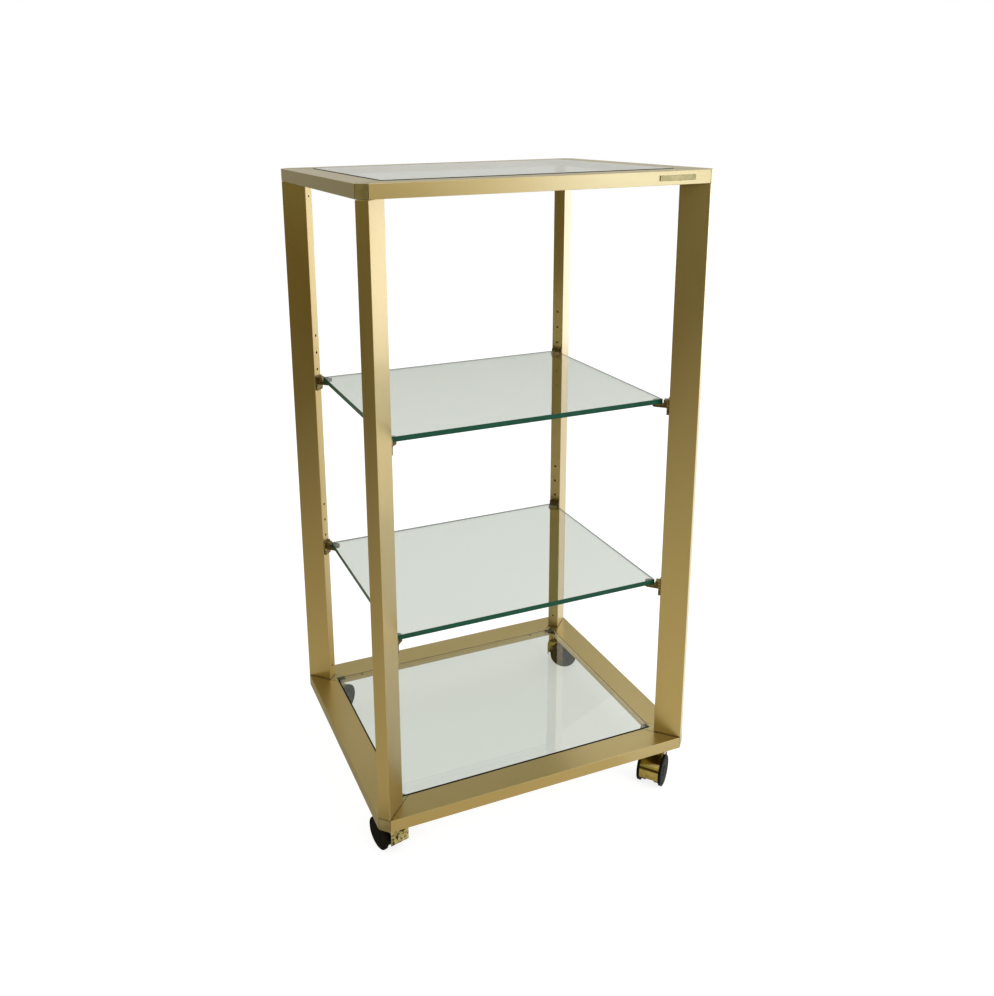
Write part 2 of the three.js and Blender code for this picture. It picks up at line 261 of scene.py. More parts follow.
def drop(*masters):
    """Removes the pieces that were only made to be copied."""
    for master in masters:
        bpy.data.objects.remove(master)


# %% [markdown]
# ## Shader maths
#
# Patterns read better as sums than as chains of nodes. A wire wraps one socket, and adding
# or multiplying wires adds the Math nodes.


# %% Wires
class Wire:
    def __init__(self, finish, socket):
        self.finish = finish
        self.socket = socket

    def maths(self, operation, one, other=0.0):
        return self.finish.add("ShaderNodeMath", {"operation": operation}, {0: one, 1: other})

    def __add__(self, other):
        return self.maths("ADD", self, other)

    def __radd__(self, other):
        return self.maths("ADD", other, self)

    def __sub__(self, other):
        return self.maths("SUBTRACT", self, other)

    def __rsub__(self, other):
        return self.maths("SUBTRACT", other, self)

    def __mul__(self, other):
        return self.maths("MULTIPLY", self, other)

    def __rmul__(self, other):
        return self.maths("MULTIPLY", other, self)

    def between(self, low, high):
        """0 below low and 1 above high, with a smooth step between them."""
        return self.finish.add(
            "ShaderNodeMapRange", {"interpolation_type": "SMOOTHSTEP"}, {0: self, 1: low, 2: high}
        )


# %% [markdown]
# A finish is a material with its shader, its object coordinates and one method that adds
# any other node. A node's settings are set first, and then its sockets get their values
# or wires.


# %% Finishes
class Finish:
    def __init__(self, name):
        self.material = bpy.data.materials.new(name)
        self.material.use_nodes = True
        self.nodes = self.material.node_tree.nodes
        self.links = self.material.node_tree.links
        self.shader = self.nodes["Principled BSDF"]
        self.place = self.add("ShaderNodeTexCoord", output="Object")

    def give(self, socket, value):
        """Links a wire to a socket, or sets the socket's own value."""
        if isinstance(value, Wire):
            self.links.new(value.socket, socket)
        elif isinstance(value, tuple) and len(value) == 3 and socket.type == "RGBA":
            socket.default_value = (*value, 1)
        else:
            socket.default_value = value

    def add(self, kind, settings=None, inputs=None, output=0):
        node = self.nodes.new(kind)
        for name, value in (settings or {}).items():
            setattr(node, name, value)
        for key, value in (inputs or {}).items():
            self.give(node.inputs[key], value)
        return Wire(self, node.outputs[output])

    def set(self, **values):
        """Sets the shader's sockets, named with underlines for spaces."""
        for name, value in values.items():
            self.give(self.shader.inputs[name.replace("_", " ")], value)

    def noise(self, scale, detail=3.0, stretch=(1, 1, 1)):
        place = self.add("ShaderNodeMapping", None, {"Vector": self.place, "Scale": stretch})
        return self.add(
            "ShaderNodeTexNoise", None, {"Vector": place, "Scale": scale, "Detail": detail}
        )

    def mix(self, share, one, other):
        return self.add(
            "ShaderNodeMix", {"data_type": "RGBA"}, {0: share, 6: one, 7: other}, output=2
        )

    def bump(self, height, depth):
        return self.add(
            "ShaderNodeBump", None, {"Height": height, "Strength": 1.0, "Distance": depth}
        )


def shade(text):
    """A colour as it is seen, such as b8a064, in the shader's own numbers."""
    parts = [int(text[i : i + 2], 16) / 255 for i in (0, 2, 4)]
    return tuple(c / 12.92 if c <= 0.04045 else ((c + 0.055) / 1.055) ** 2.4 for c in parts)


# %% [markdown]
# ## Gilt aluminium
#
# The tube is satin anodised: pale gold, with the faint lengthwise lines of the drawing die
# and soft clouds where the colour took unevenly. The clear film over it, a coat, makes its
# highlights creamy and its far surfaces pale. The lines follow each tube, so the same
# finish is made three times, stretched along X, Y and Z. A picture of brushed metal could
# be unwrapped along the tube, but noise on object coordinates needs no unwrapping, and it
# keeps the lines at their real size on tubes of any length.

# %% Gilt tube finishes
gold_pale = shade("b09d66")
gold_deep = shade("a9935b")
line_stretch = 0.006
cloud_stretch = 0.35


def drawn_out(along, share):
    """The scales that draw a pattern out along one axis."""
    return tuple(share if axis == along else 1 for axis in "XYZ")


def gilt(name, along):
    """Satin gilt whose lines run along one axis."""
    finish = Finish(name)
    lines = finish.noise(scale=1500, detail=2, stretch=drawn_out(along, line_stretch))
    clouds = finish.noise(scale=7, detail=4, stretch=drawn_out(along, cloud_stretch))
    specks = finish.noise(scale=420, detail=2).between(0.70, 0.78)
    finish.set(
        Base_Color=finish.mix(clouds.between(0.3, 0.7), gold_deep, gold_pale),
        Metallic=1.0,
        Roughness=0.25 + 0.10 * lines + 0.08 * clouds + 0.12 * specks,
        Normal=finish.bump(lines, 0.006 * mm),
        Coat_Weight=0.5,
        Coat_Roughness=0.18,
    )
    return finish.material


gilt_along = {axis: gilt(f"gilt_tube_{axis.lower()}", axis) for axis in "XYZ"}


def cast_gilt():
    """The connectors are cast: a little greener and duller, with a fine sandy skin."""
    finish = Finish("gilt_casting")
    clouds = finish.noise(scale=40, detail=4)
    grit = finish.noise(scale=2600, detail=2)
    finish.set(
        Base_Color=finish.mix(clouds.between(0.35, 0.65), shade("9c9068"), shade("b3a67c")),
        Metallic=1.0,
        Roughness=0.30 + 0.12 * clouds,
        Normal=finish.bump(grit, 0.01 * mm),
    )
    return finish.material


gilt_casting = cast_gilt()

# %% [markdown]
# ## Glass
#
# Looked at square, the panes are clear with a trace of grey. They are quite smooth between
# a few smudges, because a little roughness all over makes what is behind them grainy.
# Looked at from the edge, the light has come through the whole width of the pane, and the
# edge is dark bottle green. A render would need a very deep green volume for that, so the
# ground edge has a finish of its own: bottle green from outside, and from inside a grey
# veil, which draws the far edge as a fine line. The arris along its top is green too, and
# grey through the glass.

# %% Glass finishes
glass_ior = 1.5


def clear_glass():
    """Clear glass with a few smudges."""
    finish = Finish("clear_glass")
    smudges = finish.noise(scale=14, detail=3).between(0.60, 0.80)
    finish.set(
        Base_Color=shade("ccd1ca"),
        Roughness=0.05 * smudges,
        IOR=glass_ior,
        Transmission_Weight=1.0,
    )
    return finish.material


def glass_edge(name, deep, pale, veil):
    """A ground edge: one colour from outside, and a veil of another from inside."""
    finish = Finish(name)
    ripple = finish.noise(scale=160, detail=2)
    finish.set(
        Base_Color=finish.mix(ripple, shade(deep), shade(pale)),
        Roughness=0.35,
        Specular_IOR_Level=0.12,
    )
    inside = finish.add("ShaderNodeNewGeometry", output="Backfacing")
    clear = finish.add("ShaderNodeBsdfTransparent", None, {"Color": shade(veil)})
    output = finish.nodes["Material Output"].inputs["Surface"]
    shader = Wire(finish, finish.shader.outputs[0])
    finish.give(output, finish.add("ShaderNodeMixShader", None, {0: inside, 1: shader, 2: clear}))
    return finish.material


def glass_arris():
    """The polished arris: green from outside, and a fine grey line through the glass."""
    finish = Finish("glass_arris")
    inside = finish.add("ShaderNodeNewGeometry", output="Backfacing")
    finish.set(
        Base_Color=finish.mix(inside, shade("1d4a36"), shade("5c655f")),
        Roughness=0.3,
        Specular_IOR_Level=0.2,
    )
    return finish.material


glass_clear = clear_glass()
edge_green = glass_edge("glass_edge", "0a3825", "18503a", "8c928e")
# The let-in panes' sides: painted shade for the front and left ones, painted light for the other
# two.
edge_painted_shade = glass_edge("glass_edge_dark", "1a1a12", "2a2a1e", "f2f4ee")
edge_painted_light = glass_edge("glass_edge_light", "c4c2b0", "d6d4c2", "f2f4ee")
arris_line = glass_arris()

# %% [markdown]
# ## Brass, bronze, steel, plastic
#
# The castor hoods are polished brass that has spotted with age, one of them all over, and
# the name plate is cleaner. The shelf brackets are bronzed dark and rubbed brighter in
# patches, and the wheels are smooth black plastic, a little scuffed. One noise says where
# a spot is, and the colour, the roughness and the bump all follow it, so that each spot is
# dark, dull and slightly sunk at once.


# %% Small finishes
def brass(name, bright, dull, spotting, scale=330):
    """Polished brass with dark spots, and more of them as spotting rises."""
    finish = Finish(name)
    spots = finish.noise(scale, detail=4).between(0.66 - spotting, 0.74 - spotting)
    tarnish = finish.noise(scale=60, detail=3).between(0.3, 0.75)
    metal = finish.mix(tarnish, bright, dull)
    finish.set(
        Base_Color=finish.mix(spots, metal, shade("3a2f18")),
        Metallic=1.0 - 0.1 * spots,
        Roughness=0.12 + 0.08 * tarnish + 0.4 * spots,
        Normal=finish.bump(spots, -0.02 * mm),
    )
    return finish.material


def bronze():
    """Dark bronze, worn brighter in patches."""
    finish = Finish("dark_bronze")
    worn = finish.noise(scale=300, detail=4).between(0.5, 0.7)
    finish.set(
        Base_Color=finish.mix(worn, shade("5c4e28"), shade("9c8a52")),
        Metallic=0.9,
        Roughness=0.42 - 0.12 * worn,
        Normal=finish.bump(finish.noise(scale=1500, detail=2), 0.01 * mm),
    )
    return finish.material


def steel(name, colour, roughness):
    """Turned steel, with faint rings round the upright axis."""
    finish = Finish(name)
    turning = finish.noise(scale=900, detail=2, stretch=(1, 1, 6))
    finish.set(
        Base_Color=colour,
        Metallic=1.0,
        Roughness=roughness + 0.12 * turning,
        Normal=finish.bump(turning, 0.01 * mm),
    )
    return finish.material


def plastic(name, colour, worn_colour, roughness):
    """Moulded plastic, paler and duller where it is scuffed."""
    finish = Finish(name)
    scuffs = finish.noise(scale=220, detail=4).between(0.58, 0.72)
    finish.set(
        Base_Color=finish.mix(scuffs, colour, worn_colour),
        Specular_IOR_Level=0.004,
        Roughness=roughness + 0.3 * scuffs,
        Normal=finish.bump(finish.noise(scale=1200, detail=2), 0.01 * mm),
    )
    return finish.material


aged_brass = brass("aged_brass", shade("a89659"), shade("776a35"), spotting=0.02)
spotted_brass = brass("spotted_brass", shade("c6bc8c"), shade("8c7f4c"), spotting=0.17, scale=190)
plate_brass = brass("polished_brass", shade("72653f"), shade("655934"), spotting=-0.2)
dark_bronze = bronze()
stem_steel = steel("bright_steel", shade("a8a8a6"), roughness=0.22)
black_steel = steel("blackened_steel", shade("2c2a26"), roughness=0.35)
wheel_plastic = plastic("black_plastic", shade("15140f"), shade("24231f"), roughness=0.25)
socket_nylon = plastic("black_nylon", shade("20201e"), shade("30302d"), roughness=0.5)
pad_plastic = plastic("pad_plastic", shade("8d8f88"), shade("a4a69e"), roughness=0.4)

# %% [markdown]
# ## Rails
#
# A rail is a flat tube, mitred at both ends, with a small set screw hole near each end of
# its inner face. Its ends are hidden in the corners, so the bar is left solid: a box whose
# ends are cut by planes at 45 degrees, drilled for the screws. One long and one short rail
# serve all eight places.

# %% Make a rail
screw_radius = 2 * mm
screw_depth = 4 * mm
screw_from_mitre = 35 * mm
hole_sides = 24
tube_round = 0.5 * mm


def make_rail(name, length):
    piece = block(name, (-length / 2, 0, 0), (length / 2, tube_broad, tube_thick))
    reach = length / 2 - chamfer_leg - mitre_gap
    edit(piece)
    for side in (-1, 1):
        split((side * reach, 0, 0), (side, 1, 0), drop=True)
    done()
    soften(piece, tube_round)
    for side in (-1, 1):
        place = (side * (reach - tube_broad - screw_from_mitre), tube_broad, tube_thick / 2)
        combine(piece, rod("hole", screw_radius, 2 * screw_depth, place, ALONG_Y, hole_sides))
    smooth(piece)
    return piece


long_rail = make_rail("long_rail", frame_width)
short_rail = make_rail("short_rail", frame_depth)
print("rail faces", len(long_rail.data.polygons))

# %% Set the rails in both frames
sides = {
    "front": (long_rail, Vector((0, -frame_depth / 2, 0)), 0, "X"),
    "right": (short_rail, Vector((frame_width / 2, 0, 0)), math.pi / 2, "Y"),
    "back": (long_rail, Vector((0, frame_depth / 2, 0)), math.pi, "X"),
    "left": (short_rail, Vector((-frame_width / 2, 0, 0)), -math.pi / 2, "Y"),
}
levels = {"bottom": Vector((0, 0, bottom_z)), "top": Vector((0, 0, top_z))}
side_places = {}
for level, height in levels.items():
    for side, (master, offset, turn, axis) in sides.items():
        node = f"{level}_{side}_rail"
        place = Matrix.Translation(middle + offset + height) @ Matrix.Rotation(turn, 4, "Z")
        side_places[node] = place
        rail = copy_of(master, f"{node}_tube", place)
        mounted(rail, "frame", "gilt_tube", [gilt_along[axis]], node)
print(len(side_places), "rails set")

# %% [markdown]
# ## Corners
#
# Everything at a corner is made in the corner's own axes: x runs inwards along the
# diagonal from the middle of the chamfer, y across it. Nothing has to be modelled at a
# slant, and a matrix for each corner then sets the same piece in all four.

# %% The four corners
corner_signs = {
    "front_left": (-1, -1, math.pi / 4),
    "front_right": (1, -1, 3 * math.pi / 4),
    "back_right": (1, 1, -3 * math.pi / 4),
    "back_left": (-1, 1, -math.pi / 4),
}
corners = {}
for corner, (x, y, turn) in corner_signs.items():
    offset = Vector(
        (x * (frame_width - chamfer_leg) / 2, y * (frame_depth - chamfer_leg) / 2, 0)
    )
    corners[corner] = Matrix.Translation(middle + offset) @ Matrix.Rotation(turn, 4, "Z")

# %% [markdown]
# ## Connectors
#
# Only a strip shows between two rails, cut back like a swallow's tail so that its ends are
# flush with both inner faces. The middle of the end face is pulled back to make the notch,
# and a nib under the glass is joined on. The socket of the castor is bored from below.

# %% Make and set the connectors
bar_length = tube_broad * math.sqrt(2)
nib_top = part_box("top_glass")[0].z - top_z - joint_gap
nib_reach = 6 * mm
nib_thick = 3 * mm
stem_from_chamfer = 40 * mm
socket_radius = 5.8 * mm
socket_depth = 16 * mm
half_thick = tube_thick / 2


def make_connector(name):
    side = half_thick - joint_line
    piece = block(name, (0, -side, 0), (bar_length - joint_line, side, tube_thick))
    edit(piece)
    split((0, 0, 0), (0, 1, 0))
    pick_corners(lambda p: p.x > bar_length - mm and abs(p.y) < mm)
    bpy.ops.transform.translate(value=(-side, 0, 0))
    done()
    nib_low = (bar_length - half_thick - mm, -half_thick, nib_top - nib_thick)
    nib = block("nib", nib_low, (bar_length + nib_reach, half_thick, nib_top))
    combine(piece, nib, "UNION")
    soften(piece, tube_round)
    return piece


top_connector = make_connector("top_connector")
bottom_connector = copy_of(top_connector, "bottom_connector", Matrix.Identity(4))
bore = rod("bore", socket_radius, 2 * socket_depth, (stem_from_chamfer, 0, 0))
combine(bottom_connector, bore)
for level, master in (("bottom", bottom_connector), ("top", top_connector)):
    smooth(master)
    for corner, place in corners.items():
        node = f"{level}_{corner}_connector"
        piece = copy_of(master, f"{node}_casting", Matrix.Translation(levels[level]) @ place)
        mounted(piece, "frame", "gilt_casting", [gilt_casting], node)
print("connector faces", len(top_connector.data.polygons))

# %% [markdown]
# ## Posts
#
# A post is the same flat tube on end. Its inner edge is drilled for the shelf pins, in two
# rows that start at each shelf's own pin and climb by 30 mm, and for a set screw at either
# end. Each hole is deep enough to look black.

# %% Make and set the posts
pin_hole_radius = 2.4 * mm
post_hole_depth = 8 * mm
pin_pitch = 30 * mm
pin_below_glass = 17 * mm
pins_in_row = 4
screw_from_end = 25 * mm
post_round = 0.8 * mm
shelf_tops = {level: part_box(f"{level}_shelf_glass")[1].z for level in ("lower", "upper")}
pin_heights = [
    top - pin_below_glass + step * pin_pitch
    for top in shelf_tops.values()
    for step in range(pins_in_row)
]
post_screws = [post_low.z + screw_from_end, post_high.z - screw_from_end]


def make_post(name):
    low = (0, -half_thick, post_low.z + joint_line)
    piece = block(name, low, (tube_broad, half_thick, post_high.z - joint_line))
    soften(piece, post_round)
    for radius, heights in ((pin_hole_radius, pin_heights), (screw_radius, post_screws)):
        for height in heights:
            spot = (tube_broad, 0, height)
            combine(piece, rod("hole", radius, 2 * post_hole_depth, spot, ALONG_X, hole_sides))
    smooth(piece)
    return piece


post = make_post("post")
for corner, place in corners.items():
    piece = copy_of(post, f"{corner}_post_tube", place)
    mounted(piece, "frame", "gilt_tube", [gilt_along["Z"]], f"{corner}_post")
print("post faces", len(post.data.polygons))

# %% [markdown]
# ## Set screws
#
# A set screw is a short headless screw with a six-sided socket. One is made on the X axis,
# looking along +X, copied to every hole a little below the surface, and all are joined.

# %% Make and set the screws
screw_play = 0.15 * mm
screw_sunk = 0.5 * mm
screw_length = 3 * mm
hex_radius = 1.1 * mm
hex_sides = 6


def make_screw(name):
    middle_x = -screw_sunk - screw_length / 2
    radius = screw_radius - screw_play
    piece = rod(name, radius, screw_length, (middle_x, 0, 0), ALONG_X, hole_sides)
    mouth = (-screw_sunk, 0, 0)
    combine(piece, rod("socket", hex_radius, screw_length, mouth, ALONG_X, hex_sides))
    smooth(piece)
    return piece


screw = make_screw("screw")
screw_places = []
for node, place in side_places.items():
    length = frame_width if "front" in node or "back" in node else frame_depth
    inset = length / 2 - chamfer_leg - mitre_gap - tube_broad - screw_from_mitre
    for side in (-1, 1):
        spot = Vector((side * inset, tube_broad, tube_thick / 2))
        turn = Matrix.Rotation(math.pi / 2, 4, "Z")
        screw_places.append(place @ Matrix.Translation(spot) @ turn)
for place in corners.values():
    for height in post_screws:
        screw_places.append(place @ Matrix.Translation((tube_broad, 0, height)))
screws = [copy_of(screw, "set_screw", place) for place in screw_places]
only(*screws)
bpy.ops.object.join()
set_screws = bpy.context.object
set_screws.name = "set_screws"
mounted(set_screws, "frame", "steel", [black_steel])
print(len(screw_places), "set screws")

# %% [markdown]
# ## Panes
#
# Each pane is a box whose upright corners are rounded a little, with a fine ground arris
# round both faces. Its sides are cut once, just below the top. On a shelf the strip above
# the cut has the arris finish, and the side below it is bottle green. The panes let into
# the frames are drawn wider and higher than their solids, because no light shows between
# the real rails and glass. Their sides have painted shade at the front and on the left,
# and painted light on the other two. No pane casts a shadow, because the renderer would
# make it as dark as a solid's.

# %% Make the glass
glass_corner = 1.2 * mm
glass_arris_width = 0.6 * mm
shelf_strip = 0.4 * mm
pane_lift = 1.8 * mm
pane_spread = 2.4 * mm
level_share = 0.98  # the share of a normal above which a face lies level
for node in ("bottom_glass", "lower_shelf_glass", "upper_shelf_glass", "top_glass"):
    low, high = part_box(node)
    let_in = "shelf" not in node
    if let_in:
        low = low - Vector((pane_spread, pane_spread, 0))
        high = high + Vector((pane_spread, pane_spread, pane_lift))
    pane = block(f"{node}_pane", low, high)
    edit(pane)
    pick_edges(lambda m, way: abs(way.z) > mostly)
    bpy.ops.mesh.bevel(offset=glass_corner, segments=5, affect="EDGES")
    done()
    soften(pane, glass_arris_width, segments=2, angle=50)
    edit(pane)
    split((0, 0, high.z - shelf_strip), (0, 0, 1))
    done()
    smooth(pane, 30)
    edges = [edge_painted_light, edge_painted_shade] if let_in else [edge_green, arris_line]
    mounted(pane, node, "clear_glass", [glass_clear, *edges], node)
    for face in pane.data.polygons:
        # On a let-in pane the front and left sides get the painted shade, the other two the
        # painted light.
        near = face.normal.x + face.normal.y < 0
        on_strip = face.center.z > high.z - shelf_strip
        marked = near if let_in else on_strip
        face.material_index = 0 if abs(face.normal.z) > level_share else 1 + marked
    pane.visible_shadow = False
    print(pane.name, [round(side, 4) for side in high - low])

# %% [markdown]
# ## Shelf brackets
#
# A bracket is one bronzed casting: a tab nearly as wide as the post, a head that fills the
# gap between the tab and the shelf's corner, and an arm under the glass that ends in a round
# nose with a soft pad. Fine grooves run along the head and round the arm. They could be cut
# with thin boxes, but it is quicker to cut the mesh twice at each groove and to shrink the
# faces between the two cuts.

# %% Make the brackets
tab_half = 9.5 * mm
tab_thick = 3.5 * mm
tab_top = 1 * mm
tab_low = -24 * mm
tab_corner = 3 * mm
arm_half = 6 * mm
arm_reach = 27.5 * mm
arm_thick = 4.7 * mm
head_drop = 0.5 * mm
head_gap = 1.8 * mm
groove = 0.7 * mm
groove_sink = 0.45 * mm
arm_groove_shares = (0.3, 0.62)
head_groove_depths = (2 * mm, 4 * mm, 6 * mm)
nose_share = 0.98
pin_radius = 2.2 * mm
pin_length = 8 * mm
pin_in = 2 * mm
bracket_round = 0.6 * mm
shelf_low, shelf_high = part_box("upper_shelf_glass")
arm_top = shelf_low.z - shelf_high.z - joint_gap
arm_low = arm_top - arm_thick
tab_face = tube_broad + joint_gap
nose = tube_broad + arm_reach - arm_half
corner_in = Vector((shelf_low.x - left, shelf_low.y - front)) - Vector((1, 1)) * chamfer_leg / 2
head_end = sum(corner_in) / math.sqrt(2) - head_gap


def grooved(piece, heights):
    """Sinks a groove round a piece at each height."""
    edit(piece)
    for height in heights:
        split((0, 0, height - groove / 2), (0, 0, 1))
        split((0, 0, height + groove / 2), (0, 0, 1))
    pick_faces(
        lambda c, n: abs(n.z) < 1 - mostly and min(abs(c.z - h) for h in heights) < groove / 2
    )
    bpy.ops.mesh.extrude_region_shrink_fatten(
        TRANSFORM_OT_shrink_fatten={"value": -groove_sink, "use_even_offset": True}
    )
    done()


def make_bracket(name):
    piece = block(name, (tab_face, -tab_half, tab_low), (tab_face + tab_thick, tab_half, tab_top))
    edit(piece)
    pick_edges(lambda m, way: abs(way.x) > mostly and m.z < tab_low + mm)
    bpy.ops.mesh.bevel(offset=tab_corner, segments=6, affect="EDGES")
    done()
    root = tab_face + tab_thick / 2
    arm = block("arm", (root, -arm_half, arm_low), (nose + arm_half, arm_half, arm_top))
    edit(arm)
    pick_edges(lambda m, way: abs(way.z) > mostly and m.x > nose)
    bpy.ops.mesh.bevel(offset=nose_share * arm_half, segments=10, affect="EDGES")
    done()
    grooved(arm, [arm_top - arm_thick * share for share in arm_groove_shares])
    head = block("head", (root, -arm_half, arm_top - mm), (head_end, arm_half, -head_drop))
    grooved(head, [-head_drop - depth for depth in head_groove_depths])
    for other in (arm, head):
        combine(piece, other, "UNION")
    pin_centre = (tab_face - pin_in, 0, -pin_below_glass)
    pin = rod("pin", pin_radius, pin_length, pin_centre, ALONG_X, hole_sides)
    combine(piece, pin, "UNION")
    soften(piece, bracket_round, segments=2, angle=50)
    smooth(piece)
    return piece


bracket = make_bracket("bracket")
pad_reach = 23.4 * mm
pad_radius = 4 * mm
pad_thick = 0.28 * mm
pad_centre = (tube_broad + pad_reach, 0, arm_top + pad_thick / 2)
pad = rod("pad", pad_radius, pad_thick, pad_centre)
for level, height in shelf_tops.items():
    for corner, place in corners.items():
        node = f"{level}_{corner}_bracket"
        there = Matrix.Translation((0, 0, height)) @ place
        arm = copy_of(bracket, f"{node}_arm", there)
        mounted(arm, "frame", "dark_bronze", [dark_bronze], node)
        soft_pad = copy_of(pad, f"{node}_pad", there)
        mounted(soft_pad, "frame", "black_nylon", [pad_plastic])
print("bracket faces", len(bracket.data.polygons))

# %% [markdown]
# ## Name plate
#
# A thin brass plate with a slightly raised rim, left bare. The rim could be joined on, but
# it is simpler to inset the front face and push it in.

# %% Make the name plate
plate_rim = 0.6 * mm
plate_sunk = 0.12 * mm
plate_round = 0.12 * mm
plate = block("name_plate_brass", *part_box("name_plate"))
edit(plate)
pick_faces(lambda c, n: n.y < -mostly)
bpy.ops.mesh.inset(thickness=plate_rim)
push((0, plate_sunk, 0))
done()
soften(plate, plate_round, segments=2)
smooth(plate)
mounted(plate, "frame", "polished_brass", [plate_brass], "name_plate")
print("plate faces", len(plate.data.polygons))

# %% [markdown]
# ## Castors
#
# A castor's own axes have x from the stem towards the axle, y along the axle and z up from
# the floor. The frame's own joints say where each one stands and how it is turned: x runs
# from the swivel to the wheels' axle.

# %% Where the castors stand
joints = {joint["name"]: joint for joint in frame["joints"]}
castor_places = {}
for corner in corners:
    swivel = joints[f"{corner}_castor_swivel"]["pos_m"]
    axle = joints[f"{corner}_castor_left_wheel_spin"]["pos_m"]
    turn = math.atan2(axle[1] - swivel[1], axle[0] - swivel[0])
    there = Matrix.Translation((swivel[0], swivel[1], 0))
    castor_places[corner] = there @ Matrix.Rotation(turn, 4, "Z")
trail = math.hypot(axle[0] - swivel[0], axle[1] - swivel[1])
print("trail", round(trail, 4))

# %% [markdown]
# ## Wheels
#
# A wheel is a wide thin disc with a drum inside the hood. It starts as a disc. The outer
# face is inset and pushed to give a stepped, slightly domed cap, and the inner face is
# inset and pushed out as the drum, then in again for the axle's bore.

# %% Make the wheels
wheel_radius = axle[2]
drum_radius = 22.8 * mm
flange_in = 16.3 * mm
flange_out = 20.6 * mm
drum_in = 7.8 * mm
axle_bore = 3.3 * mm
rim_width = 3 * mm
cap_radius = 9 * mm
cap_wall = 4 * mm
tread_step = 0.5 * mm
lip_width = 1.2 * mm
lip_rise = 0.7 * mm
dome_rise = 0.3 * mm
cap_groove = 0.4 * mm
cap_rise = 0.5 * mm
wheel_round = 0.45 * mm
wheel_sides = 96


def step_in(width, depth):
    """Insets the selected round face and pushes it along the axle."""
    bpy.ops.mesh.inset(thickness=width)
    push((0, depth, 0))


def make_wheel(name):
    centre = (trail, (flange_in + flange_out) / 2, wheel_radius)
    piece = rod(name, wheel_radius, flange_out - flange_in, centre, ALONG_Y, wheel_sides)
    edit(piece)
    pick_faces(lambda c, n: n.y > mostly)
    step_in(rim_width, -tread_step)
    step_in(lip_width, lip_rise)
    step_in(wheel_radius - rim_width - lip_width - cap_radius, dome_rise)
    step_in(cap_groove, -cap_groove)
    step_in(cap_rise, cap_rise)
    pick_faces(lambda c, n: n.y < -mostly)
    step_in(wheel_radius - drum_radius, drum_in - flange_in)
    step_in(drum_radius - axle_bore, flange_out - drum_in - cap_wall)
    done()
    soften(piece, wheel_round)
    smooth(piece)
    return piece


wheel = make_wheel("wheel")
swap_sides = (
    Matrix.Translation((trail, 0, wheel_radius))
    @ Matrix.Rotation(math.pi, 4, "X")
    @ Matrix.Translation((-trail, 0, -wheel_radius))
)
for corner, place in castor_places.items():
    for side, turn in (("left", Matrix.Identity(4)), ("right", swap_sides)):
        node = f"{corner}_castor_{side}_wheel"
        disc = copy_of(wheel, f"{node}_disc", place @ turn)
        mounted(disc, node, "black_plastic", [wheel_plastic], node)
print("wheel faces", len(wheel.data.polygons))

# %% [markdown]
# ## Hoods
#
# The hood is one brass casting: a rounded housing over both wheels, a flat leading face, a
# web down the middle that holds the axle, and a neck round the stem. A drum and a block
# with one rounded edge are joined, the lower side is cut off along a slanting plane, and
# the two wheel wells are cut out.

# %% Make the hoods
hood_radius = 25 * mm
hood_half = 16 * mm
hood_wall = 1.8 * mm
hood_lead = 10 * mm
lead_low = 22 * mm
tail_angle = math.radians(20)
lead_round = 6 * mm
web_half = 7.5 * mm
neck_radius = 9 * mm
neck_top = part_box("front_left_castor_hood")[1].z
stem_bore = 4.3 * mm
bore_length = 70 * mm
hood_round = 0.4 * mm
neck_sides = 64
bore_sides = 32
hood_top = wheel_radius + hood_radius


def make_hood(name):
    axle_place = (trail, 0, wheel_radius)
    piece = rod(name, hood_radius, 2 * hood_half, axle_place, ALONG_Y, wheel_sides)
    lead = block("lead", (-hood_lead, -hood_half, 0), (trail, hood_half, hood_top))
    edit(lead)
    pick_edges(lambda m, way: abs(way.y) > mostly and m.x < 0 and m.z > hood_top - mm)
    bpy.ops.mesh.bevel(offset=lead_round, segments=10, affect="EDGES")
    done()
    combine(piece, lead, "UNION")
    tail = (
        trail + hood_radius * math.cos(tail_angle),
        wheel_radius - hood_radius * math.sin(tail_angle),
    )
    along = Vector((tail[0] + hood_lead, 0, tail[1] - lead_low)).normalized()
    edit(piece)
    split((-hood_lead, 0, lead_low), (along.z, 0, -along.x), drop=True)
    done()
    reach = hood_half - web_half + hood_wall
    for side in (-1, 1):
        centre = (trail, side * (web_half + reach / 2), wheel_radius)
        well = rod("well", hood_radius - hood_wall, reach, centre, ALONG_Y, wheel_sides)
        combine(piece, well)
        low, high = sorted((side * web_half, side * (web_half + reach)))
        box_low = (hood_wall - hood_lead, low, 0)
        combine(piece, block("well", box_low, (trail, high, hood_top - lead_round - hood_wall)))
    neck_centre = (0, 0, (hood_top - hood_wall + neck_top) / 2)
    neck_length = neck_top - hood_top + hood_wall
    neck = rod("neck", neck_radius, neck_length, neck_centre, sides=neck_sides)
    combine(piece, neck, "UNION")
    combine(piece, rod("bore", stem_bore, bore_length, (0, 0, neck_top), sides=bore_sides))
    across = 3 * hood_half
    combine(piece, rod("axle_bore", axle_bore, across, axle_place, ALONG_Y, bore_sides))
    soften(piece, hood_round)
    smooth(piece)
    return piece


hood = make_hood("hood")
for corner, place in castor_places.items():
    node = f"{corner}_castor_hood"
    finish = spotted_brass if corner == "front_left" else aged_brass
    casting = copy_of(hood, f"{node}_casting", place)
    mounted(casting, f"{corner}_castor", "aged_brass", [finish], node)
print("hood faces", len(hood.data.polygons))

# %% [markdown]
# ## Stems, axles and sockets
#
# These hardly show. The frame's own solids have the right shape, and each only gets its
# finish.

# %% Dress the carried-over nodes
carried = {"stem": stem_steel, "axle": stem_steel, "socket": socket_nylon}
for corner in corners:
    for item, finish in carried.items():
        node = frame["nodes"][f"{corner}_castor_{item}"]
        node.data.materials.clear()
        node.data.materials.append(finish)
print(len(corners) * len(carried), "solids dressed as they are")

